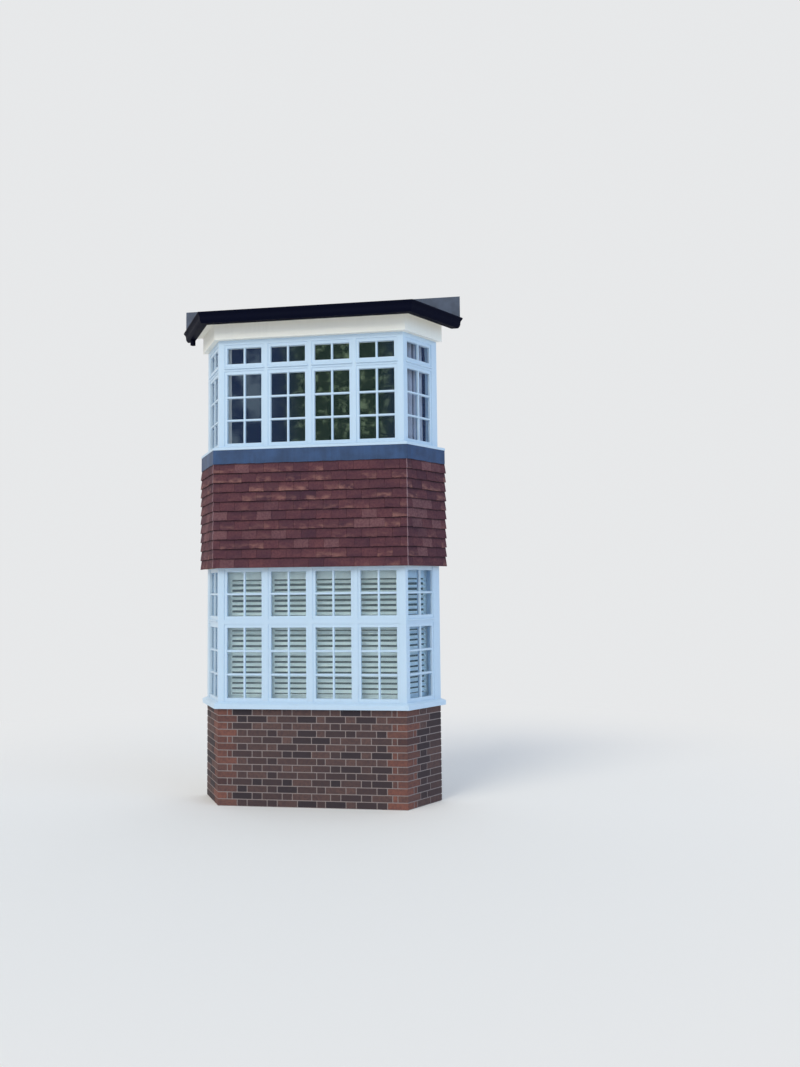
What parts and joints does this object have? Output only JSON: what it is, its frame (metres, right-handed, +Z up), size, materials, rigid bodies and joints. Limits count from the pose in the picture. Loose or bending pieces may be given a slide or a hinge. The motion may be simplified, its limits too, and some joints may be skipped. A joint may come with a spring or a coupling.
{
  "type": "bay window",
  "caption": "Two-storey canted bay window with a brick plinth, louvred shutters, a tile-hung apron and a lead roof, cut off at the wall.",
  "frame": {"origin": "on the ground, under the middle of the outline", "axes": "+Z up, +X to the right as seen from the street, +Y into the house"},
  "size_m": [3.3366, 0.762, 5.668],
  "materials": {
    "brick": "matt brown-red brick",
    "concrete": "matt concrete",
    "white_paint": "white satin gloss paint on timber",
    "cream_paint": "cream-white paint on timber",
    "shutter_paint": "cream satin paint on timber",
    "clear_glass": "clear window glass",
    "dark_glass": "window glass in front of a dark room",
    "plaster": "matt plaster",
    "bare_timber": "sawn softwood",
    "floorboards": "oiled boards",
    "clay_tile": "weathered clay tile",
    "lead": "weathered lead sheet",
    "black_iron": "black gloss paint",
    "curtain_cloth": "gathered cloth"
  },
  "bodies": {
    "root": {"plinth_wall": "brick", "ground_floor": "concrete", "lower_sill": "white_paint", "lower_posts": "white_paint", "lower_transoms": "white_paint", "lower_head": "white_paint", "lower_front_sashes": "white_paint", "lower_side_sashes": "white_paint", "lower_front_glass": "clear_glass", "lower_side_glass": "clear_glass", "lower_window_board": "white_paint", "shutter_frames": "shutter_paint", "shutter_louvres": "shutter_paint", "lower_ceiling": "plaster", "floor_joists": "bare_timber", "upper_floor": "floorboards", "apron_studwork": "bare_timber", "apron_lining": "plaster", "tile_battens": "bare_timber", "tiles_left": "clay_tile", "tiles_front": "clay_tile", "tiles_right": "clay_tile", "lead_apron": "lead", "upper_sill": "white_paint", "upper_posts": "white_paint", "upper_transoms": "white_paint", "upper_head": "white_paint", "upper_front_sashes": "white_paint", "upper_side_sashes": "white_paint", "upper_front_glass": "dark_glass", "upper_side_glass": "clear_glass", "upper_window_board": "white_paint", "curtain_rail": "white_paint", "curtain_left": "curtain_cloth", "curtain_right": "curtain_cloth", "eaves_beam": "bare_timber", "fascia": "cream_paint", "soffit": "cream_paint", "upper_ceiling": "plaster", "roof_joists": "bare_timber", "roof_deck": "bare_timber", "roof_lead": "lead", "gutter": "black_iron", "gutter_stop_ends": "black_iron", "wall_flashing": "lead"}
  },
  "joints": []
}
